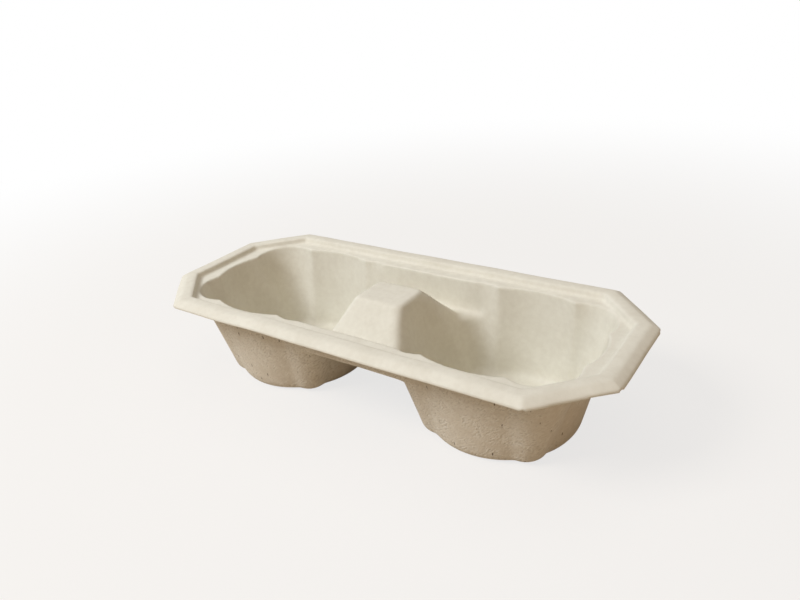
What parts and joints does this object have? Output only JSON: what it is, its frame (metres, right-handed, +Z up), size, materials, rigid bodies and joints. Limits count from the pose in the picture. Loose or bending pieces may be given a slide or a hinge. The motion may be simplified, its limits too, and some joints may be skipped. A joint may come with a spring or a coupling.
{
  "type": "moulded fibre cup carrier",
  "caption": "Moulded fibre tray that carries hot drink cups side by side in fluted wells, with a stepped eight-sided rim and a hollow hump between the wells.",
  "frame": {"origin": "middle of the carrier's length and width, on the plane that its wells stand on", "axes": "+X along the length through both wells, +Y across, +Z up out of the wells"},
  "size_m": [0.222, 0.098, 0.047],
  "materials": {
    "moulded_fibre": "matte pale plant fibre"
  },
  "bodies": {
    "root": {"carrier_tray": "moulded_fibre"}
  },
  "joints": []
}
